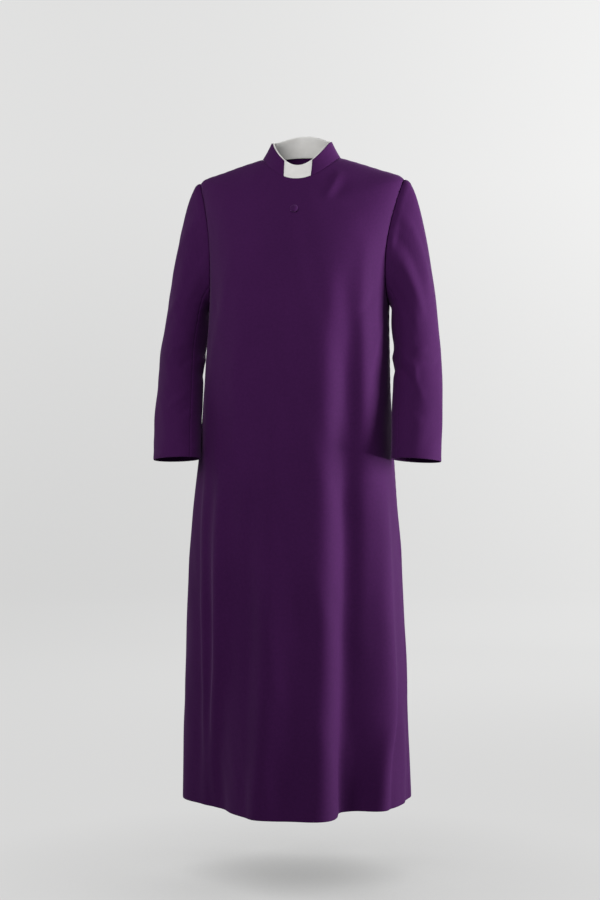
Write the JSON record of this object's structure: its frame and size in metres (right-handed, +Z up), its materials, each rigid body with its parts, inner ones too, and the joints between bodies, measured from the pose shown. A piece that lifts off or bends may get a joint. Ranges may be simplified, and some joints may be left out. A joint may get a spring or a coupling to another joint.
{
  "type": "cassock",
  "caption": "Full-length cassock as worn, hollow: plain wrapped front, stand collar with white insert, set-in sleeves, chest button, flared skirt with soft folds.",
  "frame": {"origin": "centre of the neck base, level with the inner ends of the shoulder seams, where the wearer's neck and shoulders carry the garment", "axes": "+Z up, along the hanging length; the front faces -Y; +X is the wearer's left"},
  "size_m": [0.6276, 0.4507, 1.4692],
  "materials": {
    "cassock_cloth": "purple fine twill, matt with a soft sheen",
    "button_cloth": "the same purple cloth, drawn over a domed button",
    "white_band": "smooth white starched linen or plastic band, satin"
  },
  "bodies": {
    "root": {"front": "cassock_cloth", "front_under": "cassock_cloth", "back_left": "cassock_cloth", "back_right": "cassock_cloth", "sleeve_top_left": "cassock_cloth", "sleeve_under_left": "cassock_cloth", "sleeve_top_right": "cassock_cloth", "sleeve_under_right": "cassock_cloth", "collar": "cassock_cloth", "collar_insert": "white_band", "button": "button_cloth"}
  },
  "joints": []
}
